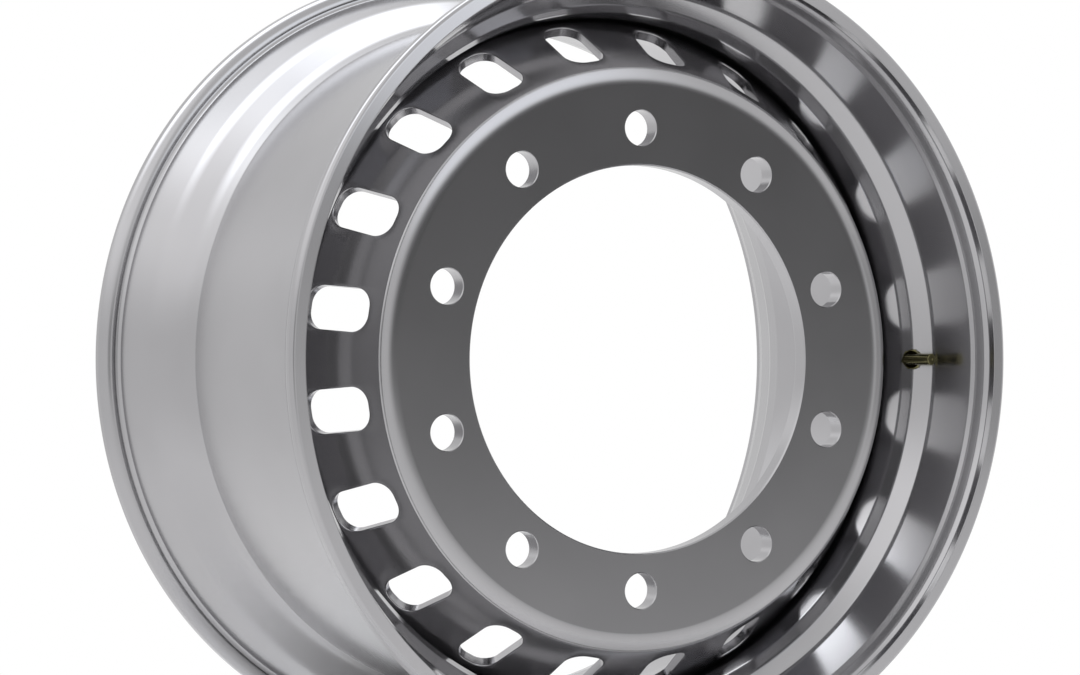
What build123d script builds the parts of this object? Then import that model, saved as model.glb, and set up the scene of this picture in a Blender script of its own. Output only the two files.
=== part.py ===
from build123d import *
from math import atan2, cos, degrees, radians, sin, tan
import os

# A 22.5 x 11.75 tubeless steel truck wheel: rolled rim, pressed disc, weld and inflation valve.
#
# Millimetres. The wheel stands upright with its spin axis on Y. The origin is the middle of the rim, on
# the spin axis. The outboard side, which shows the hub face, looks toward -Y, and +Z is up.

os.makedirs("parts", exist_ok=True)

# Rim, tyre side
bead_width = 298.45  # between the flanges' tyre-side faces, 11.75 in
bead_radius = 285.75  # 22.5 in bead diameter
bead_seat_angle = 15.0
bead_seat_length = 37.0  # along the axis
flange_height = 12.7
flange_width = 17.65  # at the inner edge of the flange's face
flange_tilt = 10.5  # degrees that the flange's face leans back toward its outer edge
flange_round = 9.5  # tyre-side shoulder of the flange
lip_round = 4.0  # outer corner of the flange
well_depth = 28.65  # below the bead radius
well_width = 153.2
ledge_length = 13.2  # gently rising part beside the well, along the axis
ledge_angle = 15.0

# Rim, inside
well_wall = 6.5
riser_wall = 8.0
lip_height = 11.05  # from the lip's bore out to the flange's edge
lip_bore_length = 5.8  # nearly straight bore under the lip
lip_bore_draft = 4.0
bowl_lip_length = 3.4  # outermost, steep part of the bowl, along the axis
bowl_lip_angle = 38.0
bowl_length = 7.0  # shallow middle part, along the axis
bowl_angle = 19.0
heel_slope_length = 4.0  # steep part next to the bend behind the bead heel, along the axis
heel_slope_angle = 30.0

# Disc
wheel_offset = 120.0  # from the rim's middle out to the inboard face of the disc
disc_thickness = 13.0
hub_bore_radius = 140.5
hub_bore_chamfer = 1.0
hub_face_radius = 202.6  # flat part of the hub face
shoulder_round = 10.0
cone_angle = 32.7  # degrees from the axis
cone_wall = 8.0
inner_shoulder_round = 15.0
skirt_wall = 7.0
skirt_length = 34.0

# Bolt holes and vents
bolt_count = 10
bolt_circle_radius = 167.5
bolt_hole_radius = 13.0
vent_count = 20
vent_circle_radius = 231.0
vent_width = 31.5  # round the wheel
vent_length = 48.0  # up the cone
vent_corner = 13.0

# Weld between disc and rim
weld_leg = 6.0

# Valve, clamped in the outboard riser of the rim at three o'clock
valve_climb = 9.5  # from the foot of the riser up to the valve's axis
valve_hole_radius = 4.9
stem_radius = 4.0
stem_bore_radius = 1.4
stem_rise = 7.2  # from the rim's inside to the elbow
stem_lean = 11.8  # degrees that the outer end leans away from the wheel's axis
stem_reach = 9.0  # from the elbow to the cap
stem_thread_radius = 3.8
stem_thread_length = 10.0
stem_head_radius = 7.5
stem_head_height = 2.6
grommet_radius = 8.2
grommet_lip = 2.4
grommet_overlap = 4.0  # how far the lip's blank reaches into the wall before the rim is cut from it
washer_radius = 7.6
washer_thickness = 1.3
nut_width = 14.0  # across flats
nut_height = 3.8
nut_turn = 10.0
nut_chamfer = 0.5
nut_recess_radius = 6.1
nut_recess_depth = 1.2
cap_radius = 4.3
cap_length = 14.4
cap_chamfer = 0.6
core_radius = 2.5
core_length = 8.5
core_pin_radius = 0.5
core_pin_length = 1.4
core_recess = 2.0  # from the stem's mouth in to the core
seal_thickness = 1.0
seal_bore_radius = 2.0


def step_in(corner, length, angle):
    """Move toward the rim's middle by this length, on a slope that nears the axis at this angle."""
    return (corner[0] - length, corner[1] - length * tan(radians(angle)))


def inset(corner, angle_before, angle_after, wall):
    """Move a corner of the outer line through the wall, between two lines at these slopes."""
    middle = radians((angle_before + angle_after) / 2)
    reach = wall / cos(radians((angle_after - angle_before) / 2))
    return (corner[0] + reach * sin(middle), corner[1] - reach * cos(middle))


def chorded(corners):
    """Points of a closed outline, each round drawn as two chords on its true arc to keep facets few."""
    outline = FilletPolyline(
        *[corner for corner, _ in corners],
        radius=[turn for _, turn in corners],
        close=True,
        mode=Mode.PRIVATE,
    )
    points = []
    for edge in outline.order_edges():
        points.append(edge @ 0)
        if edge.geom_type == GeomType.CIRCLE:
            points.append(edge @ 0.5)
    return points


# Section of the rim's half at +Y, as (distance from the middle, radius)
half_width = bead_width / 2
flange_radius = bead_radius + flange_height
lip_bore_radius = flange_radius - lip_height
well_radius = bead_radius - well_depth
flange_face = half_width + flange_width
flange_edge = flange_face - (flange_radius - lip_bore_radius) * tan(radians(flange_tilt))
lip_corner = (flange_face, lip_bore_radius)
bowl_corner = step_in(lip_corner, lip_bore_length, lip_bore_draft)
bowl_mouth = step_in(bowl_corner, bowl_lip_length, bowl_lip_angle)
bowl_foot = step_in(bowl_mouth, bowl_length, bowl_angle)
heel_bend = step_in(bowl_foot, heel_slope_length, heel_slope_angle)
well_corner = (well_width / 2, well_radius)
ledge_corner = (well_corner[0] + ledge_length, well_radius + ledge_length * tan(radians(ledge_angle)))
seat_corner = (half_width - bead_seat_length, bead_radius - bead_seat_length * tan(radians(bead_seat_angle)))
riser_angle = degrees(atan2(seat_corner[1] - ledge_corner[1], seat_corner[0] - ledge_corner[0]))
inner_well_corner = inset(well_corner, 0, ledge_angle, well_wall)
inner_ledge_corner = inset(ledge_corner, ledge_angle, riser_angle, riser_wall)
inner_seat_corner = inset(seat_corner, riser_angle, bead_seat_angle, riser_wall)

half_section = [
    (well_corner, 0),
    (ledge_corner, 0),
    (seat_corner, 0),
    ((half_width, bead_radius), 0),
    ((half_width, flange_radius), flange_round),
    ((flange_edge, flange_radius), lip_round),
    (lip_corner, 0),
    (bowl_corner, 0),
    (bowl_mouth, 0),
    (bowl_foot, 0),
    (heel_bend, 0),
    (inner_seat_corner, 0),
    (inner_ledge_corner, 0),
    (inner_well_corner, 0),
]
mirrored_half = [((-corner[0], corner[1]), turn) for corner, turn in reversed(half_section)]
rim_section = half_section + mirrored_half

# Valve axis: it leaves the riser square, on the +X side of the wheel, and turns outboard at the elbow
valve_radius = inner_ledge_corner[1] + valve_climb * sin(radians(riser_angle))
valve_distance = inner_ledge_corner[0] + valve_climb * cos(radians(riser_angle))
valve_plane = Plane(
    origin=(valve_radius, -valve_distance, 0),
    x_dir=(0, 0, 1),
    z_dir=(-cos(radians(riser_angle)), -sin(radians(riser_angle)), 0),
)
elbow_plane = Plane(
    origin=valve_plane.offset(stem_rise).origin,
    x_dir=(0, 0, 1),
    z_dir=(sin(radians(stem_lean)), -cos(radians(stem_lean)), 0),
)
cap_plane = elbow_plane.offset(stem_reach)
mouth_plane = cap_plane.offset(stem_thread_length)
core_plane = mouth_plane.offset(-core_recess - core_length)
stem_foot = -(riser_wall + grommet_lip)
nut_axis = Axis(valve_plane.origin, valve_plane.z_dir)
on_plane = (Align.CENTER, Align.CENTER, Align.MIN)

# Rim
with BuildPart() as rim_band:
    with BuildSketch(Plane.YZ):
        with BuildLine():
            Polyline(*chorded(rim_section), close=True)
        make_face()
    revolve(axis=Axis.Y)

with BuildPart() as rim:
    add(rim_band.part)
    with BuildSketch(valve_plane):
        Circle(valve_hole_radius)
    extrude(amount=2 * riser_wall, both=True, mode=Mode.SUBTRACT)
rim.part.label = "rim"
export_step(rim.part, "parts/rim.step")

# Disc, with its section as (distance along Y, radius)
hub_face = -(wheel_offset + disc_thickness)
shoulder_radius = hub_face_radius + shoulder_round * tan(radians(90 - cone_angle) / 2)
skirt_radius = well_radius - well_wall
skirt_bend = (hub_face + (skirt_radius - shoulder_radius) / tan(radians(cone_angle)), skirt_radius)
skirt_end = skirt_bend[0] + skirt_length
inner_cone_radius = shoulder_radius + disc_thickness * tan(radians(cone_angle)) - cone_wall / cos(radians(cone_angle))

disc_section = [
    ((hub_face, hub_bore_radius), 0),
    ((hub_face, shoulder_radius), shoulder_round),
    (skirt_bend, 0),
    ((skirt_end, skirt_radius), 0),
    ((skirt_end, skirt_radius - skirt_wall), 0),
    (inset(skirt_bend, cone_angle, 0, skirt_wall), 0),
    ((-wheel_offset, inner_cone_radius), inner_shoulder_round),
    ((-wheel_offset, hub_bore_radius), 0),
]

vent_depth = (vent_circle_radius - shoulder_radius) / tan(radians(cone_angle))
vent_plane = Plane(
    origin=(0, hub_face + vent_depth, vent_circle_radius),
    x_dir=(1, 0, 0),
    z_dir=(0, -sin(radians(cone_angle)), cos(radians(cone_angle))),
)


with BuildPart() as vent_punch:
    with BuildSketch(vent_plane):
        RectangleRounded(vent_width, vent_length, vent_corner)
    extrude(amount=2 * cone_wall, both=True)

with BuildPart() as disc_blank:
    with BuildSketch(Plane.YZ):
        with BuildLine():
            Polyline(*chorded(disc_section), close=True)
        make_face()
    revolve(axis=Axis.Y)
    with BuildSketch(Plane.XZ.offset(-hub_face)):
        with PolarLocations(bolt_circle_radius, bolt_count, start_angle=90):
            Circle(bolt_hole_radius)
    extrude(amount=-disc_thickness, mode=Mode.SUBTRACT)
    hub_face_edges = disc_blank.edges().filter_by(GeomType.CIRCLE).group_by(Axis.Y)[0]
    bore_edge = hub_face_edges.filter_by(lambda edge: abs(edge.radius - hub_bore_radius) < 1e-3)
    chamfer(bore_edge, hub_bore_chamfer)

with BuildPart() as disc:
    add(disc_blank.part)
    for vent in range(vent_count):
        add(vent_punch.part, rotation=(0, (vent + 0.5) * 360 / vent_count, 0), mode=Mode.SUBTRACT)
disc.part.label = "disc"
export_step(disc.part, "parts/disc.step")

# Weld: a fillet round the free end of the disc's skirt, against the rim's inside
weld_top = (skirt_end + weld_leg, skirt_radius)
weld_foot = (skirt_end, skirt_radius - weld_leg)
with BuildPart() as disc_weld:
    with BuildSketch(Plane.YZ):
        with BuildLine():
            Polyline(weld_top, (skirt_end, skirt_radius), weld_foot, close=True)
        make_face()
    revolve(axis=Axis.Y)
disc_weld.part.label = "disc_weld"
export_step(disc_weld.part, "parts/disc_weld.step")

# Valve stem: a flat head inside the tyre, a shank through the rim, an elbow and a threaded outer end
with BuildPart() as valve_stem:
    with BuildLine():
        Polyline(valve_plane.offset(stem_foot).origin, elbow_plane.origin, cap_plane.origin)
    with BuildSketch(valve_plane.offset(stem_foot)):
        Circle(stem_radius)
        Circle(stem_bore_radius, mode=Mode.SUBTRACT)
    sweep(transition=Transition.RIGHT)
    with Locations(cap_plane):
        Cylinder(stem_thread_radius, stem_thread_length, align=on_plane)
    with Locations(valve_plane.offset(stem_foot - stem_head_height)):
        Cylinder(stem_head_radius, stem_head_height, align=on_plane)
        Cylinder(stem_bore_radius, stem_head_height, align=on_plane, mode=Mode.SUBTRACT)
    with Locations(core_plane):
        Cylinder(core_radius, core_length + core_recess, align=on_plane, mode=Mode.SUBTRACT)
valve_stem.part.label = "valve_stem"
export_step(valve_stem.part, "parts/valve_stem.step")

# Valve grommet: rubber in the hole, with a lip that follows the tyre side of the riser
with BuildPart() as valve_grommet:
    with Locations(valve_plane.offset(stem_foot)):
        Cylinder(grommet_radius, grommet_lip + grommet_overlap, align=on_plane)
    add(rim.part, mode=Mode.SUBTRACT)
    with Locations(valve_plane.offset(stem_foot)):
        Cylinder(stem_radius, grommet_lip + riser_wall, align=on_plane, mode=Mode.SUBTRACT)
valve_grommet.part.label = "valve_grommet"
export_step(valve_grommet.part, "parts/valve_grommet.step")

# Valve washer, its back following the rim's inside
with BuildPart() as valve_washer:
    with Locations(valve_plane.offset(-washer_thickness)):
        Cylinder(washer_radius, 2 * washer_thickness, align=on_plane)
    add(rim.part, mode=Mode.SUBTRACT)
    with Locations(valve_plane):
        Cylinder(stem_radius, 2 * washer_thickness, mode=Mode.SUBTRACT)
valve_washer.part.label = "valve_washer"
export_step(valve_washer.part, "parts/valve_washer.step")

# Valve nut, with a recess round the stem
with BuildPart() as valve_nut:
    with BuildSketch(valve_plane.offset(washer_thickness)):
        RegularPolygon(nut_width / 2, 6, major_radius=False, rotation=nut_turn)
    extrude(amount=nut_height)
    chamfer(valve_nut.faces().sort_by(nut_axis)[-1].edges(), nut_chamfer)
    with Locations(valve_plane.offset(washer_thickness + nut_height - nut_recess_depth)):
        Cylinder(nut_recess_radius, nut_recess_depth, align=on_plane, mode=Mode.SUBTRACT)
    with Locations(valve_plane.offset(washer_thickness)):
        Cylinder(stem_radius, nut_height, align=on_plane, mode=Mode.SUBTRACT)
valve_nut.part.label = "valve_nut"
export_step(valve_nut.part, "parts/valve_nut.step")

# Valve cap, screwed over the threaded end
with BuildPart() as valve_cap:
    with Locations(cap_plane):
        Cylinder(cap_radius, cap_length, align=on_plane)
    chamfer(valve_cap.edges().sort_by(Axis(cap_plane.origin, cap_plane.z_dir))[-1], cap_chamfer)
    with Locations(cap_plane):
        Cylinder(stem_thread_radius, stem_thread_length + seal_thickness, align=on_plane, mode=Mode.SUBTRACT)
valve_cap.part.label = "valve_cap"
export_step(valve_cap.part, "parts/valve_cap.step")

# Cap seal, squeezed between the stem's mouth and the cap
with BuildPart() as cap_seal:
    with BuildSketch(mouth_plane):
        Circle(stem_thread_radius)
        Circle(seal_bore_radius, mode=Mode.SUBTRACT)
    extrude(amount=seal_thickness)
cap_seal.part.label = "cap_seal"
export_step(cap_seal.part, "parts/cap_seal.step")

# Valve core, in the mouth of the stem
with BuildPart() as valve_core:
    with Locations(core_plane):
        Cylinder(core_radius, core_length, align=on_plane)
    with Locations(core_plane.offset(core_length)):
        Cylinder(core_pin_radius, core_pin_length, align=on_plane)
valve_core.part.label = "valve_core"
export_step(valve_core.part, "parts/valve_core.step")
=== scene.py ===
from math import atan2, ceil, cos, pi, radians, sin, tan

import bmesh
import bpy
from mathutils import Matrix, Vector


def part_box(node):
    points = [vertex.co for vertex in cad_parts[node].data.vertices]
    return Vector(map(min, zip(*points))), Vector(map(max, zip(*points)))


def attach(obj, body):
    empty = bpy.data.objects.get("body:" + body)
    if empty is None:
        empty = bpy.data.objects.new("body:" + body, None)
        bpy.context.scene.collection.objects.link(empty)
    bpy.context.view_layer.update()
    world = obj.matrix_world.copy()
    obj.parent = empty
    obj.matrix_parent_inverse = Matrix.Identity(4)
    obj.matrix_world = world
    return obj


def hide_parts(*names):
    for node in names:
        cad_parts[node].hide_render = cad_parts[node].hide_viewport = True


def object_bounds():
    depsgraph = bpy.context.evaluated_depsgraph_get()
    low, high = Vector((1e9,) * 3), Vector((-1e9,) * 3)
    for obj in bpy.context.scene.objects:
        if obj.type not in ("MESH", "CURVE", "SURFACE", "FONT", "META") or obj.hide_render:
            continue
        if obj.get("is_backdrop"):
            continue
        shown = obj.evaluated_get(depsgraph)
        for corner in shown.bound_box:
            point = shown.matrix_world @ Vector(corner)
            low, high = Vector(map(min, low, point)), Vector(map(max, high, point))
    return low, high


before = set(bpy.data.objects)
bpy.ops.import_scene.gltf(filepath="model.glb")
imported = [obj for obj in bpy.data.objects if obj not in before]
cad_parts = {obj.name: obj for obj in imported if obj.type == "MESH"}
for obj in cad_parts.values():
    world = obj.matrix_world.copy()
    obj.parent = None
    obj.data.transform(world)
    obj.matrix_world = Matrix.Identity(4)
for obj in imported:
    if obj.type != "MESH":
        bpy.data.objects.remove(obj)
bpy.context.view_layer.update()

bl_info = {
    "name": "Steel Truck Wheel",
    "version": (1, 0, 0),
    "blender": (4, 5, 0),
    "location": "View3D > Sidebar > Wheel",
    "description": "Dresses the packed steel wheel: rolled rim, pressed disc, weld, valve and studio",
    "category": "Object",
}

UP = Vector((0, 0, 1))
SMOOTH_BELOW = radians(32)  # edges flatter than this shade smooth
RIM_SECTORS = 36  # equal parts of the rim, of which its Steps are a multiple


# Properties

class WheelRimSizes(bpy.types.PropertyGroup):
    """Sizes of the rim's rolled section."""

    bead_width: bpy.props.FloatProperty(
        name="Bead Width", description="Between the tyre sides of the flanges",
        default=0.29845, precision=5, unit="LENGTH")
    bead_radius: bpy.props.FloatProperty(
        name="Bead Radius", description="Where bead seat and flange meet",
        default=0.28575, precision=5, unit="LENGTH")
    seat_angle: bpy.props.FloatProperty(
        name="Seat Angle", description="Taper of the bead seats and of the ledges beside the well",
        default=radians(15), subtype="ANGLE")
    seat_length: bpy.props.FloatProperty(
        name="Seat Length", description="Bead seat, along the axle", default=0.037, precision=4, unit="LENGTH")
    flange_width: bpy.props.FloatProperty(
        name="Flange Width", description="At the inner edge of the flange's face",
        default=0.01765, precision=5, unit="LENGTH")
    flange_tilt: bpy.props.FloatProperty(
        name="Flange Tilt", description="How far the flange's face leans back", default=radians(10.5), subtype="ANGLE")
    flange_round: bpy.props.FloatProperty(
        name="Flange Round", description="Tyre-side shoulder of the flange", default=0.0095, precision=4, unit="LENGTH")
    heel_round: bpy.props.FloatProperty(
        name="Heel Round", description="Corner between seat and flange", default=0.004, precision=4, unit="LENGTH")
    lip_round: bpy.props.FloatProperty(
        name="Lip Round", description="Outer corner of the flange", default=0.004, precision=4, unit="LENGTH")
    lip_radius: bpy.props.FloatProperty(
        name="Lip Radius", description="Bore of the lip at the flange's face",
        default=0.2874, precision=4, unit="LENGTH")
    lip_length: bpy.props.FloatProperty(
        name="Lip Length", description="Nearly straight bore of the lip", default=0.0058, precision=4, unit="LENGTH")
    lip_slope: bpy.props.FloatProperty(
        name="Lip Slope", description="How that bore nears the axle", default=radians(4), subtype="ANGLE")
    mouth_length: bpy.props.FloatProperty(
        name="Mouth Length", description="Steep step behind the lip, along the axle",
        default=0.0034, precision=4, unit="LENGTH")
    mouth_slope: bpy.props.FloatProperty(
        name="Mouth Slope", description="How that step nears the axle", default=radians(38), subtype="ANGLE")
    mouth_round: bpy.props.FloatProperty(
        name="Mouth Round", description="Bend from the lip into the step", default=0.0025, precision=4, unit="LENGTH")
    bowl_length: bpy.props.FloatProperty(
        name="Bowl Length", description="Hollow behind the flange, along the axle",
        default=0.007, precision=4, unit="LENGTH")
    bowl_slope: bpy.props.FloatProperty(
        name="Bowl Slope", description="How that hollow nears the axle", default=radians(19), subtype="ANGLE")
    bowl_round: bpy.props.FloatProperty(
        name="Bowl Round", description="Bends at both ends of the hollow", default=0.009, precision=4, unit="LENGTH")
    heel_length: bpy.props.FloatProperty(
        name="Heel Length", description="Inside of the bead's heel, along the axle",
        default=0.004, precision=4, unit="LENGTH")
    heel_slope: bpy.props.FloatProperty(
        name="Heel Slope", description="How that inside nears the axle", default=radians(30), subtype="ANGLE")
    heel_bend: bpy.props.FloatProperty(
        name="Heel Bend", description="Bend from there to the inside of the seat",
        default=0.0015, precision=4, unit="LENGTH")
    well_radius: bpy.props.FloatProperty(
        name="Well Radius", description="Drop centre, tyre side", default=0.2571, precision=4, unit="LENGTH")
    well_width: bpy.props.FloatProperty(
        name="Well Width", description="Floor of the drop centre", default=0.1532, precision=4, unit="LENGTH")
    well_round: bpy.props.FloatProperty(
        name="Well Round", description="Bends beside that floor, tyre side", default=0.006, precision=4, unit="LENGTH")
    ledge_length: bpy.props.FloatProperty(
        name="Ledge Length", description="Gently rising part beside the well, along the axle",
        default=0.0132, precision=4, unit="LENGTH")
    riser_round: bpy.props.FloatProperty(
        name="Riser Round", description="Bends at the foot and the head of the risers",
        default=0.030, precision=4, unit="LENGTH")
    well_wall: bpy.props.FloatProperty(
        name="Well Wall", description="Thickness under the well", default=0.0065, precision=4, unit="LENGTH")
    riser_wall: bpy.props.FloatProperty(
        name="Riser Wall", description="Thickness at the risers", default=0.008, precision=4, unit="LENGTH")
    inner_foot_slope: bpy.props.FloatProperty(
        name="Inner Foot Slope", description="Inside of the risers, next to the ledge",
        default=radians(32), subtype="ANGLE")
    inner_foot_length: bpy.props.FloatProperty(
        name="Inner Foot Length", description="That part, along the axle", default=0.0083, precision=4, unit="LENGTH")
    inner_slope: bpy.props.FloatProperty(
        name="Inner Slope", description="Inside of the risers, next to the bead seat",
        default=radians(50), subtype="ANGLE")
    inner_round: bpy.props.FloatProperty(
        name="Inner Round", description="Bends of the risers' inside", default=0.008, precision=4, unit="LENGTH")
    valve_slope: bpy.props.FloatProperty(
        name="Valve Slope", description="Slope of the inside under the valve's washer",
        default=radians(41), subtype="ANGLE")
    crease_round: bpy.props.FloatProperty(
        name="Crease Round", description="Crisp edges of the lip", default=0.0005, precision=5, unit="LENGTH")
    steps: bpy.props.IntProperty(name="Steps", description="Faces round the rim", default=324, min=RIM_SECTORS)


class WheelDiscSizes(bpy.types.PropertyGroup):
    """Sizes of the pressed disc and its weld."""

    offset: bpy.props.FloatProperty(
        name="Offset", description="From the rim's middle to the disc's inboard face",
        default=0.120, precision=4, unit="LENGTH")
    thickness: bpy.props.FloatProperty(
        name="Thickness", description="Disc at the hub face", default=0.013, precision=4, unit="LENGTH")
    bore_radius: bpy.props.FloatProperty(
        name="Bore Radius", description="Hub bore", default=0.1405, precision=4, unit="LENGTH")
    bore_chamfer: bpy.props.FloatProperty(
        name="Bore Chamfer", description="Edge of the hub bore", default=0.001, precision=4, unit="LENGTH")
    shoulder_radius: bpy.props.FloatProperty(
        name="Shoulder Radius", description="Where the lines of hub face and cone cross",
        default=0.2105, precision=4, unit="LENGTH")
    crown_radius: bpy.props.FloatProperty(
        name="Crown Radius", description="Where the hub face starts to fall away toward its shoulder",
        default=0.2049, precision=4, unit="LENGTH")
    crown_angle: bpy.props.FloatProperty(
        name="Crown Angle", description="How far it has turned at the shoulder", default=radians(20), subtype="ANGLE")
    crown_round: bpy.props.FloatProperty(
        name="Crown Round", description="Large radius of that turn", default=0.036, precision=4, unit="LENGTH")
    shoulder_edge: bpy.props.FloatProperty(
        name="Shoulder Edge", description="Tighter bend outside the crown", default=0.0035, precision=4, unit="LENGTH")
    inner_shoulder_round: bpy.props.FloatProperty(
        name="Inner Shoulder Round", description="The same bend, inboard", default=0.015, precision=4, unit="LENGTH")
    cone_angle: bpy.props.FloatProperty(
        name="Cone Angle", description="From the axle", default=radians(31.2), subtype="ANGLE")
    cone_wall: bpy.props.FloatProperty(
        name="Cone Wall", description="Thickness of the cone", default=0.008, precision=4, unit="LENGTH")
    skirt_wall: bpy.props.FloatProperty(
        name="Skirt Wall", description="Thickness of the skirt", default=0.007, precision=4, unit="LENGTH")
    skirt_length: bpy.props.FloatProperty(
        name="Skirt Length", description="Skirt, along the axle", default=0.0342, precision=4, unit="LENGTH")
    skirt_round: bpy.props.FloatProperty(
        name="Skirt Round", description="Bend from cone to skirt", default=0.020, precision=4, unit="LENGTH")
    skirt_edge: bpy.props.FloatProperty(
        name="Skirt Edge", description="Round on the free edge, inside", default=0.001, precision=4, unit="LENGTH")
    bolt_count: bpy.props.IntProperty(name="Bolt Holes", description="Number of bolt holes", default=10, min=3)
    bolt_circle: bpy.props.FloatProperty(
        name="Bolt Circle", description="Radius of the bolt circle", default=0.1675, precision=4, unit="LENGTH")
    bolt_radius: bpy.props.FloatProperty(
        name="Bolt Hole", description="Radius of a bolt hole", default=0.013, precision=4, unit="LENGTH")
    bolt_chamfer: bpy.props.FloatProperty(
        name="Bolt Chamfer", description="Edge of a bolt hole", default=0.0006, precision=5, unit="LENGTH")
    vent_count: bpy.props.IntProperty(name="Vents", description="Number of vents", default=20, min=3)
    vent_circle: bpy.props.FloatProperty(
        name="Vent Circle", description="Radius of the vents' middles", default=0.2315, precision=4, unit="LENGTH")
    vent_width: bpy.props.FloatProperty(
        name="Vent Width", description="Round the wheel", default=0.0315, precision=4, unit="LENGTH")
    vent_length: bpy.props.FloatProperty(
        name="Vent Length", description="Up the cone", default=0.0515, precision=4, unit="LENGTH")
    vent_corner: bpy.props.FloatProperty(
        name="Vent Corner", description="Corner radius of a vent", default=0.013, precision=4, unit="LENGTH")
    vent_edge: bpy.props.FloatProperty(
        name="Vent Edge", description="Round on a vent's outboard edge", default=0.0011, precision=5, unit="LENGTH")
    weld_leg: bpy.props.FloatProperty(
        name="Weld Leg", description="Leg of the fillet weld", default=0.006, precision=4, unit="LENGTH")
    weld_pitch: bpy.props.FloatProperty(
        name="Weld Pitch", description="Spacing of the weld's ripples", default=0.003546, precision=6, unit="LENGTH")
    weld_ripple: bpy.props.FloatProperty(
        name="Weld Ripple", description="Height of those ripples", default=0.00045, precision=5, unit="LENGTH")
    steps: bpy.props.IntProperty(name="Steps", description="Faces round the disc", default=720, min=36)


class WheelValveSizes(bpy.types.PropertyGroup):
    """Sizes of the valve, measured from the rim's inside along the valve's own axis."""

    climb: bpy.props.FloatProperty(
        name="Climb", description="From the foot of the riser to the valve's axis",
        default=0.0095, precision=4, unit="LENGTH")
    hole_radius: bpy.props.FloatProperty(
        name="Hole", description="Radius of the hole in the rim", default=0.0049, precision=5, unit="LENGTH")
    stem_radius: bpy.props.FloatProperty(
        name="Stem", description="Radius of the stem", default=0.004, precision=5, unit="LENGTH")
    stem_rise: bpy.props.FloatProperty(
        name="Stem Rise", description="From the rim's inside to the elbow", default=0.0072, precision=5, unit="LENGTH")
    stem_lean: bpy.props.FloatProperty(
        name="Stem Lean", description="Outer end, away from the wheel's axis", default=radians(11.8), subtype="ANGLE")
    stem_reach: bpy.props.FloatProperty(
        name="Stem Reach", description="From the elbow to the cap", default=0.009, precision=5, unit="LENGTH")
    washer_thickness: bpy.props.FloatProperty(
        name="Washer", description="Thickness under the nut", default=0.0013, precision=5, unit="LENGTH")
    washer_radius: bpy.props.FloatProperty(
        name="Washer Radius", description="Outside of the washer", default=0.0076, precision=5, unit="LENGTH")
    nut_width: bpy.props.FloatProperty(
        name="Nut Width", description="Across flats", default=0.014, precision=5, unit="LENGTH")
    nut_height: bpy.props.FloatProperty(
        name="Nut Height", description="Along the valve's axis", default=0.0038, precision=5, unit="LENGTH")
    nut_turn: bpy.props.FloatProperty(
        name="Nut Turn", description="How far the nut is turned", default=radians(10), subtype="ANGLE")
    nut_crown: bpy.props.FloatProperty(
        name="Nut Crown", description="Radius where the corners' chamfer meets the top",
        default=0.00695, precision=5, unit="LENGTH")
    nut_recess: bpy.props.FloatProperty(
        name="Nut Recess", description="Radius of the recess round the stem",
        default=0.0066, precision=5, unit="LENGTH")
    nut_lip: bpy.props.FloatProperty(
        name="Nut Lip", description="Straight wall above and below the cone of that recess",
        default=0.0005, precision=5, unit="LENGTH")
    cap_radius: bpy.props.FloatProperty(
        name="Cap", description="Radius of the cap", default=0.0043, precision=5, unit="LENGTH")
    cap_bore: bpy.props.FloatProperty(
        name="Cap Bore", description="Radius of the thread in the cap", default=0.0038, precision=5, unit="LENGTH")
    cap_groove: bpy.props.FloatProperty(
        name="Cap Groove", description="Length of the chamfer at the cap's open end",
        default=0.0005, precision=5, unit="LENGTH")
    cap_length: bpy.props.FloatProperty(
        name="Cap Length", description="Length of the cap", default=0.0144, precision=5, unit="LENGTH")
    cap_depth: bpy.props.FloatProperty(
        name="Cap Depth", description="Depth of the cap's bore", default=0.011, precision=5, unit="LENGTH")
    cap_round: bpy.props.FloatProperty(
        name="Cap Round", description="End corner of the cap", default=0.0007, precision=5, unit="LENGTH")
    cap_dimple: bpy.props.FloatProperty(
        name="Cap Dimple", description="Radius of the dimple in the cap's end",
        default=0.001, precision=5, unit="LENGTH")


class WheelFinishes(bpy.types.PropertyGroup):
    """Colours and gloss."""

    paint: bpy.props.FloatVectorProperty(
        name="Paint", description="Silver paint of rim and disc", subtype="COLOR", size=3,
        default=(0.404, 0.400, 0.411), min=0, max=1)
    paint_roughness: bpy.props.FloatProperty(
        name="Paint Roughness", description="Lower is glossier", default=0.19, min=0, max=1)
    peel_size: bpy.props.FloatProperty(
        name="Orange Peel", description="Size of the waves in the sprayed coat",
        default=0.0035, precision=5, unit="LENGTH")
    peel_height: bpy.props.FloatProperty(
        name="Peel Height", description="Height of those waves", default=0.0000001, precision=7, unit="LENGTH")
    brass: bpy.props.FloatVectorProperty(
        name="Brass", description="Dull plating of the valve", subtype="COLOR", size=3,
        default=(0.150, 0.138, 0.068), min=0, max=1)
    brass_roughness: bpy.props.FloatProperty(
        name="Brass Roughness", description="Lower is glossier", default=0.22, min=0, max=1)
    rubber: bpy.props.FloatVectorProperty(
        name="Rubber", description="Valve grommet and seal", subtype="COLOR", size=3,
        default=(0.018, 0.018, 0.019), min=0, max=1)
    rubber_roughness: bpy.props.FloatProperty(
        name="Rubber Roughness", description="Lower is glossier", default=0.6, min=0, max=1)


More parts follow.
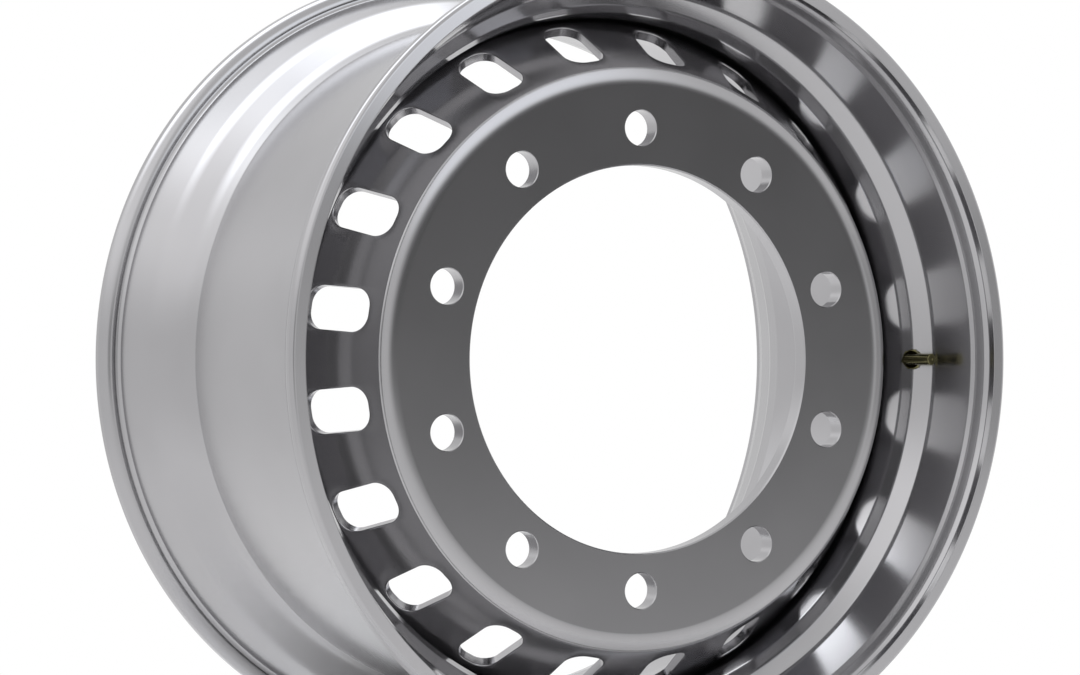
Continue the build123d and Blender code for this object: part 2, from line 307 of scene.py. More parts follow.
class WheelStudio(bpy.types.PropertyGroup):
    """Camera, floor and soft light."""

    camera_distance: bpy.props.FloatProperty(
        name="Camera Distance", description="From the wheel's middle", default=3.4626, precision=4, unit="LENGTH")
    camera_turn: bpy.props.FloatProperty(
        name="Camera Turn", description="From straight ahead toward the wheel's left",
        default=radians(29.605), subtype="ANGLE")
    camera_yaw: bpy.props.FloatProperty(
        name="Camera Yaw", description="Heading of the lens, from straight ahead",
        default=radians(29.48), subtype="ANGLE")
    camera_pitch: bpy.props.FloatProperty(
        name="Camera Pitch", description="Tilt of the lens, upward", default=radians(0.271), subtype="ANGLE")
    lens: bpy.props.FloatProperty(
        name="Lens", description="Focal length on a 36 mm sensor, in millimetres", default=154.2)
    floor_colour: bpy.props.FloatVectorProperty(
        name="Floor", description="Pale floor", subtype="COLOR", size=3, default=(0.88, 0.88, 0.88), min=0, max=1)
    room_level: bpy.props.FloatProperty(
        name="Room Level", description="Brightness of the studio's pale walls", default=0.92, min=0)
    shade_level: bpy.props.FloatProperty(
        name="Shade Level", description="Brightness of the dark card in front of the wheel", default=0.09, min=0)
    shade_turn: bpy.props.FloatProperty(
        name="Shade Turn", description="Direction of the dark card, from straight ahead",
        default=radians(-29), subtype="ANGLE")
    wall_shade: bpy.props.FloatProperty(
        name="Wall Shade", description="How much darker the far wall is than the room", default=0.45, min=0)
    overhead_level: bpy.props.FloatProperty(
        name="Overhead Level", description="Brightness that the overhead softbox adds", default=2.3, min=0)
    front_level: bpy.props.FloatProperty(
        name="Front Level", description="Brightness that the high front softbox adds", default=0.85, min=0)
    left_level: bpy.props.FloatProperty(
        name="Left Level", description="Brightness that the fill from the left adds", default=0.45, min=0)
    low_level: bpy.props.FloatProperty(
        name="Low Level", description="Brightness that the light from below adds", default=0.17, min=0)
    lamp_colour: bpy.props.FloatVectorProperty(
        name="Lamp Colour", description="Cool tint of the softboxes", subtype="COLOR", size=3,
        default=(0.93, 0.96, 1.0), min=0, max=1)


GROUPS = {
    "wheel_rim": WheelRimSizes,
    "wheel_disc": WheelDiscSizes,
    "wheel_valve": WheelValveSizes,
    "wheel_finish": WheelFinishes,
    "wheel_studio": WheelStudio,
}


# Outlines

def step_in(corner, length, angle):
    """Move toward the rim's middle by this length, on a slope that nears the axle at this angle."""
    return Vector((corner[0] - length, corner[1] - length * tan(angle)))


def inset(corner, angle_before, angle_after, wall):
    """Move a corner of the outer line through the wall, between two lines at these slopes."""
    middle = (angle_before + angle_after) / 2
    reach = wall / cos((angle_after - angle_before) / 2)
    return Vector((corner[0] + reach * sin(middle), corner[1] - reach * cos(middle)))


def crossing(place, angle, other, other_angle):
    """Where two lines of the section meet, each given by a place and a slope."""
    rise = other[1] - place[1] + place[0] * tan(angle) - other[0] * tan(other_angle)
    along = rise / (tan(angle) - tan(other_angle))
    return Vector((along, place[1] + (along - place[0]) * tan(angle)))


def rounded(corners, turn=radians(6), guard=0.0003):
    """Points of a closed outline, with an arc at each corner and a guard point beside each end of it."""
    places = [Vector(place) for place, _ in corners]
    points = []
    for index, (_, radius) in enumerate(corners):
        corner = places[index]
        before = (places[index - 1] - corner).normalized()
        after = (places[(index + 1) % len(places)] - corner).normalized()
        if radius == 0:
            points.append(corner)
            continue
        half = before.angle(after) / 2
        reach = radius / tan(half)
        centre = corner + (before + after).normalized() * (radius / sin(half))
        start = corner + before * reach - centre
        sweep = pi - 2 * half
        if before.cross(after) > 0:
            sweep = -sweep
        steps = max(2, ceil(abs(sweep) / turn))
        points.append(corner + before * (reach + guard))
        for step in range(steps + 1):
            points.append(centre + Matrix.Rotation(sweep * step / steps, 2) @ start)
        points.append(corner + after * (reach + guard))
    return points


def riser_places(size):
    """Of the outboard riser: the well's corner, foot and head on the tyre side, foot inside, and slope."""
    well = Vector((size.well_width / 2, size.well_radius))
    ledge = step_in(well, -size.ledge_length, size.seat_angle)
    seat = step_in((size.bead_width / 2, size.bead_radius), size.seat_length, size.seat_angle)
    slope = atan2(seat.y - ledge.y, seat.x - ledge.x)
    return well, ledge, seat, inset(ledge, size.seat_angle, slope, size.riser_wall), slope


def rim_corners(size):
    """Corners and rounds of the rim's section, as (distance from the middle, radius)."""
    half_width = size.bead_width / 2
    flange_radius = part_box("rim")[1][0]
    flange_face = half_width + size.flange_width
    flange_edge = flange_face - (flange_radius - size.lip_radius) * tan(size.flange_tilt)
    lip = Vector((flange_face, size.lip_radius))
    lip_end = step_in(lip, size.lip_length, size.lip_slope)
    mouth = step_in(lip_end, size.mouth_length, size.mouth_slope)
    bowl = step_in(mouth, size.bowl_length, size.bowl_slope)
    heel = step_in(bowl, size.heel_length, size.heel_slope)
    well, ledge, seat, foot, _ = riser_places(size)
    knee = step_in(foot, -size.inner_foot_length, size.inner_foot_slope)
    half = [
        (well, size.well_round),
        (ledge, size.riser_round),
        (seat, size.riser_round),
        (Vector((half_width, size.bead_radius)), size.heel_round),
        (Vector((half_width, flange_radius)), size.flange_round),
        (Vector((flange_edge, flange_radius)), size.lip_round),
        (lip, size.crease_round),
        (lip_end, size.mouth_round),
        (mouth, size.bowl_round),
        (bowl, size.bowl_round),
        (heel, size.heel_bend),
        (crossing(knee, size.inner_slope, heel, size.seat_angle), size.inner_round),
        (knee, size.inner_round),
        (foot, size.inner_round),
        (inset(well, 0, size.seat_angle, size.well_wall), size.well_round + size.well_wall),
    ]
    mirrored = [(Vector((-place.x, place.y)), radius) for place, radius in reversed(half)]
    return half + mirrored


def disc_places(rim, disc):
    """Of the disc: the hub face along the axle, the bend from cone to skirt, and the skirt's end."""
    face = -(disc.offset + disc.thickness)
    skirt_radius = rim.well_radius - rim.well_wall
    bend = Vector((face + (skirt_radius - disc.shoulder_radius) / tan(disc.cone_angle), skirt_radius))
    return face, bend, bend.x + disc.skirt_length


def disc_corners(rim, disc):
    """Corners and rounds of the disc's section, as (distance along the axle, radius)."""
    face, bend, end = disc_places(rim, disc)
    shoulder = disc.shoulder_radius
    inner_cone = shoulder + disc.thickness * tan(disc.cone_angle) - disc.cone_wall / cos(disc.cone_angle)
    crown = (face, disc.crown_radius)
    edge = crossing(crown, pi / 2 - disc.crown_angle, (face, shoulder), disc.cone_angle)
    return [
        ((face + disc.bore_chamfer, disc.bore_radius), 0),
        ((face, disc.bore_radius + disc.bore_chamfer), 0),
        (crown, disc.crown_round),
        (edge, disc.shoulder_edge),
        (bend, disc.skirt_round),
        ((end, bend.y), 0),
        ((end, bend.y - disc.skirt_wall), disc.skirt_edge),
        (inset(bend, disc.cone_angle, 0, disc.skirt_wall), disc.skirt_round - disc.skirt_wall),
        ((-disc.offset, inner_cone), disc.inner_shoulder_round),
        ((-disc.offset, disc.bore_radius), disc.bore_chamfer),
    ]


# Meshes

def new_object(name, bm):
    """An object at the origin, with its faces pointing outwards."""
    bmesh.ops.recalc_face_normals(bm, faces=bm.faces)
    if bm.calc_volume(signed=True) < 0:
        bmesh.ops.reverse_faces(bm, faces=bm.faces)
    mesh = bpy.data.meshes.new(name)
    bm.to_mesh(mesh)
    bm.free()
    obj = bpy.data.objects.new(name, mesh)
    bpy.context.scene.collection.objects.link(obj)
    return obj


def sector(name, points, sweep, steps):
    """A closed outline of (distance along the axle, radius) turned about the axle through part of a turn."""
    bm = bmesh.new()
    rows = []
    for step in range(steps + 1):
        angle = sweep * step / steps
        rows.append([bm.verts.new((radius * sin(angle), along, radius * cos(angle))) for along, radius in points])
    for row, following in zip(rows, rows[1:]):
        for index in range(len(points)):
            before = index - 1
            bm.faces.new((row[before], row[index], following[index], following[before]))
    return new_object(name, bm)


def turned(name, outline, place, steps, limit=None):
    """An outline of (height, radius) turned about a valve piece's own axis and closed where it meets it."""
    bm = bmesh.new()
    rows = []
    for height, radius in outline:
        if radius == 0:
            rows.append([bm.verts.new((0, 0, height))])
            continue
        row = []
        for step in range(steps):
            angle = 2 * pi * step / steps
            reach = min(radius, limit(angle)) if limit else radius
            row.append(bm.verts.new((reach * cos(angle), reach * sin(angle), height)))
        rows.append(row)
    closed = outline[0][1] > 0
    pairs = list(zip(rows, rows[1:])) + ([(rows[-1], rows[0])] if closed else [])
    for row, following in pairs:
        for step in range(steps):
            after = (step + 1) % steps
            corners = [row[step % len(row)], row[after % len(row)]]
            corners += [following[after % len(following)], following[step % len(following)]]
            bm.faces.new(list(dict.fromkeys(corners)))
    bm.transform(place)
    return new_object(name, bm)


# Geometry Nodes

def ring_tree():
    """Geometry Nodes that repeat a piece round the axle and join the copies into one skin."""
    tree = bpy.data.node_groups.new("Ring of copies", "GeometryNodeTree")
    inputs = {
        "Geometry": "Geometry",
        "Count": "Int",
        "First Angle": "Float",
        "Weld Distance": "Float",
        "Material": "Material",
    }
    for name, kind in inputs.items():
        tree.interface.new_socket(name, in_out="INPUT", socket_type="NodeSocket" + kind)
    tree.interface.new_socket("Geometry", in_out="OUTPUT", socket_type="NodeSocketGeometry")
    nodes = tree.nodes
    given = nodes.new("NodeGroupInput")
    points = nodes.new("GeometryNodePoints")
    index = nodes.new("GeometryNodeInputIndex")
    pitch = nodes.new("ShaderNodeMath")
    pitch.operation = "DIVIDE"
    pitch.inputs[0].default_value = 2 * pi
    turn = nodes.new("ShaderNodeMath")
    turn.operation = "MULTIPLY_ADD"
    angles = nodes.new("ShaderNodeCombineXYZ")
    copies = nodes.new("GeometryNodeInstanceOnPoints")
    real = nodes.new("GeometryNodeRealizeInstances")
    joined = nodes.new("GeometryNodeMergeByDistance")
    finish = nodes.new("GeometryNodeSetMaterial")
    out = nodes.new("NodeGroupOutput")
    for source, output, node, socket in (
        (given, "Count", points, "Count"),
        (given, "Count", pitch, 1),
        (index, 0, turn, 0),
        (pitch, 0, turn, 1),
        (given, "First Angle", turn, 2),
        (turn, 0, angles, "Y"),
        (points, 0, copies, "Points"),
        (given, "Geometry", copies, "Instance"),
        (angles, 0, copies, "Rotation"),
        (copies, 0, real, 0),
        (real, 0, joined, "Geometry"),
        (given, "Weld Distance", joined, "Distance"),
        (joined, 0, finish, "Geometry"),
        (given, "Material", finish, "Material"),
        (finish, 0, out, "Geometry"),
    ):
        tree.links.new(source.outputs[output], node.inputs[socket])
    return tree


def ring_of(obj, count, material, first_angle=0.0, weld=0.000002):
    """Repeat an object's mesh round the axle and keep the result as its own mesh."""
    tree = bpy.data.node_groups.get("Ring of copies") or ring_tree()
    modifier = obj.modifiers.new("Ring", "NODES")
    modifier.node_group = tree
    values = {"Count": count, "First Angle": first_angle, "Weld Distance": weld, "Material": material}
    for item in tree.interface.items_tree:
        if item.in_out == "INPUT" and item.name in values:
            modifier[item.identifier] = values[item.name]
    return settle(obj)


def ring_piece(name, outline, sectors, steps, material):
    """A closed outline turned once round the axle, as equal sectors that are joined into one skin."""
    return ring_of(sector(name, outline, 2 * pi / sectors, steps // sectors), sectors, material)


def settle(obj):
    """Turn what an object's modifiers make into its own plain mesh."""
    depsgraph = bpy.context.evaluated_depsgraph_get()
    mesh = bpy.data.meshes.new_from_object(obj.evaluated_get(depsgraph))
    obj.modifiers.clear()
    obj.data = mesh
    return obj


def cut(obj, cutter):
    """Take the cutter out of an object and remove the cutter."""
    modifier = obj.modifiers.new("Cut", "BOOLEAN")
    modifier.operation = "DIFFERENCE"
    modifier.solver = "MANIFOLD"
    modifier.object = cutter
    settle(obj)
    bpy.data.objects.remove(cutter)
    return obj


def dress(obj, material, slot, *nodes):
    """Give a finished piece its material and put it in place of these CAD nodes."""
    obj.data.materials.clear()
    obj.data.materials.append(material)
    obj.data.shade_smooth()
    obj.data.set_sharp_from_angle(angle=SMOOTH_BELOW)
    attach(obj, "root")
    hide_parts(*nodes)


# Materials

class Number:
    """A number in a node tree. Sums on it add Math nodes."""

    def __init__(self, builder, socket):
        self.builder = builder
        self.socket = socket

    def math(self, operation, *values):
        return Number(self.builder, self.builder.add("ShaderNodeMath", {"operation": operation}, values).outputs[0])

    def __add__(self, other):
        return self.math("ADD", self, other)

    def __radd__(self, other):
        return self.math("ADD", other, self)

    def __sub__(self, other):
        return self.math("SUBTRACT", self, other)

    def __rsub__(self, other):
        return self.math("SUBTRACT", other, self)

    def __mul__(self, other):
        return self.math("MULTIPLY", self, other)

    def __rmul__(self, other):
        return self.math("MULTIPLY", other, self)

    def between(self, low, high):
        """0 below low, 1 above high, and a smooth rise in between."""
        settings = {"interpolation_type": "SMOOTHSTEP"}
        node = self.builder.add("ShaderNodeMapRange", settings, {"Value": self, "From Min": low, "From Max": high})
        return Number(self.builder, node.outputs["Result"])


class Builder:
    """Adds nodes to one material or world."""

    def __init__(self, owner):
        owner.use_nodes = True
        self.tree = owner.node_tree
        self.tree.nodes.clear()

    def add(self, kind, settings, values):
        """A node of this kind, its settings first and then its sockets, by name or in order."""
        node = self.tree.nodes.new(kind)
        for name, value in settings.items():
            setattr(node, name, value)
        pairs = values.items() if isinstance(values, dict) else enumerate(values)
        for key, value in pairs:
            value = value.socket if isinstance(value, Number) else value
            if isinstance(value, bpy.types.NodeSocket):
                self.tree.links.new(value, node.inputs[key])
            else:
                node.inputs[key].default_value = value
        return node

    def noise(self, size, detail=3.0):
        """Noise with features of this size, in metres, fixed to the object."""
        place = self.add("ShaderNodeTexCoord", {}, {}).outputs["Object"]
        node = self.add("ShaderNodeTexNoise", {}, {"Vector": place, "Scale": 1 / size, "Detail": detail})
        return Number(self, node.outputs["Fac"])

    def blend(self, factor, colour, other):
        """A colour between these two."""
        settings = {"data_type": "RGBA"}
        node = self.add("ShaderNodeMix", settings, {0: factor, 6: (*colour, 1), 7: (*other, 1)})
        return node.outputs[2]

    def skin(self, colour, metallic, roughness, height, distance):
        """Close a material with one Principled shader and a bump."""
        bump = self.add("ShaderNodeBump", {}, {"Height": height, "Distance": distance, "Strength": 1.0})
        self.finish(self.add("ShaderNodeBsdfPrincipled", {}, {
            "Base Color": colour,
            "Metallic": metallic,
            "Roughness": roughness,
            "Normal": bump.outputs[0],
        }))

    def finish(self, shader, kind="ShaderNodeOutputMaterial"):
        """Lead a shader to the tree's output."""
        self.add(kind, {}, {"Surface": shader.outputs[0]})


def scaled(colour, amount):
    """A colour made lighter or darker."""
    return tuple(min(1.0, part * amount) for part in colour)


def silver_paint(build, finish):
    """Glossy, with a faint orange peel and slight unevenness of tone and gloss."""
    cloud_size, grain_size = 0.09, 0.0012
    cloud, grain = build.noise(cloud_size), build.noise(grain_size, detail=2.0)
    tone = build.blend(cloud.between(0.3, 0.7), scaled(finish.paint, 0.975), scaled(finish.paint, 1.025))
    roughness = finish.paint_roughness + (cloud - 0.5) * 0.015 + (grain - 0.5) * 0.005
    build.skin(tone, 1.0, roughness, build.noise(finish.peel_size, detail=1.0), finish.peel_height)


def dull_brass(build, finish):
    """Olive brass, a little stained."""
    stain_size, grain_size, grain_height = 0.004, 0.0004, 0.000004
    stain, grain = build.noise(stain_size), build.noise(grain_size, detail=2.0)
    tone = build.blend(stain.between(0.35, 0.7), scaled(finish.brass, 0.85), scaled(finish.brass, 1.1))
    build.skin(tone, 1.0, finish.brass_roughness + (stain - 0.5) * 0.12, grain, grain_height)


def black_rubber(build, finish):
    """Moulded rubber with a fine grain."""
    grain_size, grain_height = 0.0006, 0.00002
    grain = build.noise(grain_size)
    tone = build.blend(grain, scaled(finish.rubber, 0.8), scaled(finish.rubber, 1.3))
    build.skin(tone, 0.0, finish.rubber_roughness + (grain - 0.5) * 0.2, grain, grain_height)


FINISHES = {
    "Silver wheel paint": silver_paint,
    "Dull valve brass": dull_brass,
    "Valve rubber": black_rubber,
}


def material_named(name):
    """A finish of the wheel, made when it is first needed."""
    material = bpy.data.materials.get(name)
    if material is None:
        material = bpy.data.materials.new(name)
        FINISHES[name](Builder(material), bpy.context.scene.wheel_finish)
    return material


# Operators

def valve_frames():
    """Matrices of the valve's shank, of its seat on the riser and of its cap, each with Z outward."""
    scene = bpy.context.scene
    *_, foot, slope = riser_places(scene.wheel_rim)
    valve = scene.wheel_valve
    place = Vector((foot.y + valve.climb * sin(slope), -(foot.x + valve.climb * cos(slope)), 0))

    def upright(origin, outward):
        turn = Matrix((UP, outward.cross(UP), outward)).transposed()
        return Matrix.Translation(origin) @ turn.to_4x4()

    def square_to(angle):
        return upright(place, Vector((-cos(angle), -sin(angle), 0)))

    shank = square_to(slope)
    elbow = shank @ Vector((0, 0, valve.stem_rise))
    cap = upright(elbow, Vector((sin(valve.stem_lean), -cos(valve.stem_lean), 0)))
    return shank, square_to(scene.wheel_rim.valve_slope), cap @ Matrix.Translation((0, 0, valve.stem_reach))


class WHEEL_OT_rim(bpy.types.Operator):
    """Roll the rim from its section and cut the valve hole"""

    bl_idname = "wheel.rim"
    bl_label = "Rim"

    def execute(self, context):
        size = context.scene.wheel_rim
        paint = material_named("Silver wheel paint")
        rim = ring_piece("rolled_rim", rounded(rim_corners(size)), RIM_SECTORS, size.steps, paint)
        hole, reach = context.scene.wheel_valve.hole_radius, 2 * size.riser_wall
        outline = [(-reach, 0), (-reach, hole), (reach, hole), (reach, 0)]
        cut(rim, turned("valve_drill", outline, valve_frames()[0], 64))
        dress(rim, paint, "wheel_paint", "rim")
        return {"FINISHED"}


class WHEEL_OT_disc(bpy.types.Operator):
    """Press the disc and cut its bolt holes and vents"""

    bl_idname = "wheel.disc"
    bl_label = "Disc"

    def execute(self, context):
        rim, size = context.scene.wheel_rim, context.scene.wheel_disc
        paint = material_named("Silver wheel paint")
        disc = ring_piece("pressed_disc", rounded(disc_corners(rim, size)), 2 * size.vent_count, size.steps, paint)
        face = disc_places(rim, size)[0]
        cut(disc, self.bolt_cutter(size, face, paint))
        cut(disc, self.vent_cutter(size, face, paint))
        dress(disc, paint, "wheel_paint", "disc")
        return {"FINISHED"}

    def bolt_cutter(self, size, face, paint):
        """Drills with a flare that leaves each bolt hole's chamfer."""
        place = Matrix.Translation((0, face, size.bolt_circle)) @ Matrix.Rotation(-pi / 2, 4, "X")
        chamfer, radius, past = size.bolt_chamfer, size.bolt_radius, size.thickness
        outline = [
            (-past, 0),
            (-past, radius + chamfer + past),
            (chamfer, radius),
            (2 * past, radius),
            (2 * past, 0),
        ]
        drill = turned("bolt_drill", outline, place, 96)
        return ring_of(drill, size.bolt_count, paint)

    def vent_cutter(self, size, face, paint):
        """Punches, each a rounded rectangle that is bent with the cone and flares at the outboard edge."""
        slant = size.cone_angle
        middle = face + (size.vent_circle - size.shoulder_radius) / tan(slant)
        outward = Vector((0, -sin(slant), cos(slant)))
        along = Vector((0, cos(slant), sin(slant)))
        bend = size.vent_circle / cos(slant)
        half_wide, half_long = size.vent_width / 2, size.vent_length / 2
        signs = ((-1, -1), (1, -1), (1, 1), (-1, 1))
        corners = [((wide * half_wide, long * half_long), size.vent_corner) for wide, long in signs]
        plan = rounded(corners, turn=radians(5))
        normals = []
        for index in range(len(plan)):
            edge = plan[(index + 1) % len(plan)] - plan[index - 1]
            normals.append(Vector((edge.y, -edge.x)).normalized())
        bm = bmesh.new()
        rings = []
        for depth, flare in self.punch_levels(size):
            ring = []
            for point, normal in zip(plan, normals):
                spot = point + normal * flare
                sag = bend - (bend**2 - min(abs(spot.x), bend) ** 2) ** 0.5
                place = Vector((spot.x, middle, size.vent_circle)) + along * spot.y + outward * (depth - sag)
                ring.append(bm.verts.new(place))
            rings.append(ring)
        for ring, following in zip(rings, rings[1:]):
            for index in range(len(plan)):
                bm.faces.new((ring[index - 1], ring[index], following[index], following[index - 1]))
        bm.faces.new(rings[0])
        bm.faces.new(rings[-1])
        punch = new_object("vent_punch", bm)
        return ring_of(punch, size.vent_count, paint, first_angle=pi / size.vent_count)

    def punch_levels(self, size, widest=radians(78), parts=8):
        """Heights along a punch from the cone's surface, each with how far it flares there."""
        edge = size.vent_edge
        levels = [(-2 * size.cone_wall, 0.0)]
        for part in range(parts + 1):
            turn = widest * part / parts
            levels.append((-edge + edge * sin(turn), edge * (1 - cos(turn))))
        return levels + [(edge, levels[-1][1] + 5 * edge)]


class WHEEL_OT_weld(bpy.types.Operator):
    """Lay the rippled fillet weld round the disc's skirt"""

    bl_idname = "wheel.weld"
    bl_label = "Weld"

    def execute(self, context):
        size = context.scene.wheel_disc
        _, bend, end = disc_places(context.scene.wheel_rim, size)
        leg = size.weld_leg
        points, parts = 4, 8  # along each ripple, and across the bead
        lean = 0.6  # of a ripple's height, along the axle
        steps = round(2 * pi * bend.y / size.weld_pitch) * points
        bm = bmesh.new()
        rows = []
        for step in range(steps):
            angle = 2 * pi * step / steps
            crown = size.weld_ripple * (1 - step % points / points)
            row = [(end, bend.y)]
            for part in range(parts + 1):
                turn = part / parts
                bulge = crown * sin(pi * turn)
                row.append((end + leg * turn + bulge * lean, bend.y - leg * (1 - turn) - bulge))
            rows.append([bm.verts.new((radius * sin(angle), along, radius * cos(angle))) for along, radius in row])
        for index in range(steps):
            row, following = rows[index - 1], rows[index]
            for spot in range(len(row)):
                bm.faces.new((row[spot - 1], row[spot], following[spot], following[spot - 1]))
        dress(new_object("weld_bead", bm), material_named("Silver wheel paint"), "wheel_paint", "disc_weld")
        return {"FINISHED"}


class WHEEL_OT_valve(bpy.types.Operator):
    """Turn the valve's nut and cap, and finish its stem, washer, grommet, core and seal"""

    bl_idname = "wheel.valve"
    bl_label = "Valve"

    def execute(self, context):
        size = context.scene.wheel_valve
        brass = material_named("Dull valve brass")
        _, seat, cap_place = valve_frames()
        self.washer(size, brass, seat)
        self.nut(size, brass, seat)
        self.cap(size, brass, cap_place)
        for name in ("valve_stem", "valve_core"):
            self.coat(name, brass)
        for name in ("valve_grommet", "cap_seal"):
            self.coat(name, material_named("Valve rubber"))
        return {"FINISHED"}

    def coat(self, name, material):
        """Give a CAD node's own mesh its material."""
        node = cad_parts[name]
        node.data.materials.clear()
        node.data.materials.append(material)

    def washer(self, size, brass, seat):
        """Flat washer with a softened edge."""
        edge, reach = 0.0002, size.washer_radius
        bore, top = size.stem_radius, size.washer_thickness
        rows = [(-top, bore), (-top, reach), (top - edge, reach), (top, reach - edge), (top, bore)]
        dress(turned("valve_seat_washer", rows, seat, 96), brass, "valve_brass", "valve_washer")

    def nut(self, size, brass, seat):
        """Hexagon nut with chamfered corners and a conical recess round the stem."""
        flat, low = size.nut_width / 2, size.washer_thickness
        high = low + size.nut_height
        corner, crown = flat / cos(pi / 6), size.nut_crown
        chamfer, parts = radians(30), 8

        def hexagon(angle):
            past = (angle - size.nut_turn + pi / 6) % (pi / 3) - pi / 6
            return flat / cos(past)

        rows = [(low, size.stem_radius), (low, corner)]
        for part in range(parts + 1):
            reach = corner - (corner - crown) * part / parts
            rows.append((high - (reach - crown) * tan(chamfer), reach))
        rows += [
            (high, size.nut_recess),
            (high - size.nut_lip, size.nut_recess),
            (low + size.nut_lip, size.stem_radius),
        ]
        nut = turned("crowned_nut", rows, seat, 144, limit=hexagon)
        dress(nut, brass, "valve_brass", "valve_nut")

    def cap(self, size, brass, place):
        """Plain cap with a rounded end and a shallow dimple."""
        top, dimple, groove = size.cap_length, size.cap_dimple, size.cap_groove
        floor, parts = top - dimple / 2, 6
        rows = [(size.cap_depth, 0), (size.cap_depth, size.cap_bore), (0, size.cap_bore), (groove, size.cap_radius)]
        for part in range(parts + 1):
            turn = pi / 2 * part / parts
            rows.append((top - size.cap_round * (1 - sin(turn)), size.cap_radius - size.cap_round * (1 - cos(turn))))
        rows += [(top, dimple), (floor, dimple / 2), (floor, 0)]
        dress(turned("dimpled_cap", rows, place, 96), brass, "valve_brass", "valve_cap")


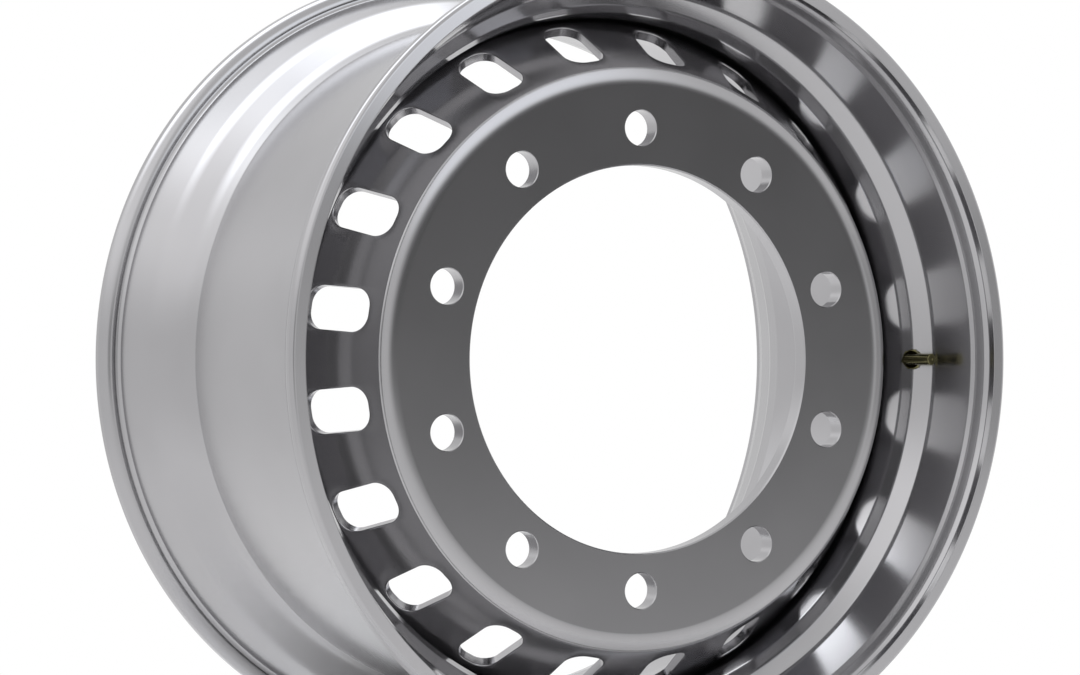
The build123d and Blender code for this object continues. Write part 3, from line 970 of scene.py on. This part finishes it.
class WHEEL_OT_studio(bpy.types.Operator):
    """Set the floor, the soft light and the camera"""

    bl_idname = "wheel.studio"
    bl_label = "Studio"

    def execute(self, context):
        studio = context.scene.wheel_studio
        self.world(context, studio)
        self.floor(context, studio)
        self.camera(context, studio)
        context.scene.view_settings.view_transform = "Standard"
        return {"FINISHED"}

    def world(self, context, studio):
        """Pale room with a dark card and a shaded wall ahead, softboxes and fills, and white behind the wheel."""
        world = bpy.data.worlds.new("Pale studio")
        context.scene.world = world
        build = Builder(world)
        ray = build.add("ShaderNodeTexCoord", {}, {}).outputs["Generated"]

        def toward(*direction):
            """How far a ray points this way, from -1 to 1."""
            settings = {"operation": "DOT_PRODUCT"}
            node = build.add("ShaderNodeVectorMath", settings, {0: ray, 1: direction})
            return Number(build, node.outputs["Value"])

        def band(value, low, lower, upper, high):
            """1 from lower to upper, fading out to low and to high."""
            return value.between(low, lower) * (1 - value.between(upper, high))

        def sines(*degrees):
            return [sin(radians(angle)) for angle in degrees]

        turn = studio.shade_turn
        ahead, aside = toward(-sin(turn), -cos(turn), 0), toward(cos(turn), -sin(turn), 0)
        side, depth, height = toward(1, 0, 0), toward(0, 1, 0), toward(0, 0, 1)
        card = ahead.between(0.3, 0.6) * band(aside, *sines(-28, -14, 12, 20))
        card = card * band(height, *sines(-7.5, 0.5, 10, 16))
        wall = ahead.between(0.3, 0.5) * (1 - aside.between(*sines(32, 40)))
        wall = wall * (1 - band(aside, *sines(-44, -38, 20, 25))) * band(height, *sines(-7.5, -3, 6, 12))
        overhead = height.between(0.45, 0.75) * band(depth, -0.1, 0.3, 0.45, 0.78)
        overhead = overhead * band(side, -0.95, -0.35, 0.25, 0.55)
        front = band(height, 0.2, 0.32, 0.5, 0.7) * (1 - depth.between(-0.7, -0.4)) * band(side, -0.15, 0.1, 0.4, 0.6)
        left = (1 - side.between(-0.5, -0.25)) * height.between(0.1, 0.45)
        low = 1 - height.between(-0.45, -0.1)
        level = studio.room_level + overhead * studio.overhead_level + front * studio.front_level
        level = level + left * studio.left_level + low * studio.low_level
        level = level - wall * studio.wall_shade - card * (studio.room_level - studio.shade_level)
        lamps = overhead + front
        tint = build.blend(lamps.math("MINIMUM", lamps, 1.0), (1, 1, 1), studio.lamp_colour)
        room = build.add("ShaderNodeBackground", {}, {"Color": tint, "Strength": level})
        plain = build.add("ShaderNodeBackground", {}, {"Color": (1, 1, 1, 1), "Strength": 1.0})
        seen = build.add("ShaderNodeLightPath", {}, {}).outputs["Is Camera Ray"]
        both = build.add("ShaderNodeMixShader", {}, {0: seen, 1: room.outputs[0], 2: plain.outputs[0]})
        build.finish(both, "ShaderNodeOutputWorld")

    def floor(self, context, studio):
        """Pale floor near the wheel that fades out into the white."""
        half, fade_start, fade_end = 0.6, 0.3, 0.55
        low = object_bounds()[0][2]
        bm = bmesh.new()
        plan = ((-half, -half), (half, -half), (half, half), (-half, half))
        bm.faces.new([bm.verts.new((x, y, low)) for x, y in plan])
        floor = new_object("Floor", bm)
        material = bpy.data.materials.new("Pale floor")
        build = Builder(material)
        place = build.add("ShaderNodeTexCoord", {}, {}).outputs["Object"]
        settings = {"operation": "LENGTH"}
        reach = Number(build, build.add("ShaderNodeVectorMath", settings, {0: place}).outputs["Value"])
        lit = build.add("ShaderNodeBsdfDiffuse", {}, {"Color": (*studio.floor_colour, 1)})
        clear = build.add("ShaderNodeBsdfTransparent", {}, {"Color": (1, 1, 1, 1)})
        fade = reach.between(fade_start, fade_end)
        build.finish(build.add("ShaderNodeMixShader", {}, {0: fade, 1: lit.outputs[0], 2: clear.outputs[0]}))
        floor.data.materials.append(material)
        floor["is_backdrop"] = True

    def camera(self, context, studio):
        """Camera at the photograph's viewing angle."""
        data = bpy.data.cameras.new("Camera")
        data.lens = studio.lens
        data.sensor_width = 36
        camera = bpy.data.objects.new("Camera", data)
        turn = studio.camera_turn
        camera.location = Vector((-sin(turn), -cos(turn), 0)) * studio.camera_distance
        camera.rotation_euler = (pi / 2 + studio.camera_pitch, 0, -studio.camera_yaw)
        context.scene.collection.objects.link(camera)
        context.scene.camera = camera


OPERATORS = (WHEEL_OT_rim, WHEEL_OT_disc, WHEEL_OT_weld, WHEEL_OT_valve, WHEEL_OT_studio)


class WHEEL_PT_sidebar(bpy.types.Panel):
    """Buttons and sizes of the wheel"""

    bl_idname = "WHEEL_PT_sidebar"
    bl_label = "Steel Wheel"
    bl_space_type = "VIEW_3D"
    bl_region_type = "UI"
    bl_category = "Wheel"

    def draw(self, context):
        for operator in OPERATORS:
            self.layout.operator(operator.bl_idname)
        for name, group in GROUPS.items():
            box = self.layout.box()
            for prop in group.__annotations__:
                box.prop(getattr(context.scene, name), prop)


def register():
    """Add the wheel's properties, operators and panel to Blender."""
    for name, group in GROUPS.items():
        bpy.utils.register_class(group)
        setattr(bpy.types.Scene, name, bpy.props.PointerProperty(type=group))
    for operator in OPERATORS:
        bpy.utils.register_class(operator)
    bpy.utils.register_class(WHEEL_PT_sidebar)


def unregister():
    """Take them out again."""
    bpy.utils.unregister_class(WHEEL_PT_sidebar)
    for operator in reversed(OPERATORS):
        bpy.utils.unregister_class(operator)
    for name, group in GROUPS.items():
        delattr(bpy.types.Scene, name)
        bpy.utils.unregister_class(group)


def main():
    """Build every piece in order."""
    register()
    bpy.ops.wheel.rim()
    bpy.ops.wheel.disc()
    bpy.ops.wheel.weld()
    bpy.ops.wheel.valve()
    bpy.ops.wheel.studio()


if __name__ == "__main__":
    main()
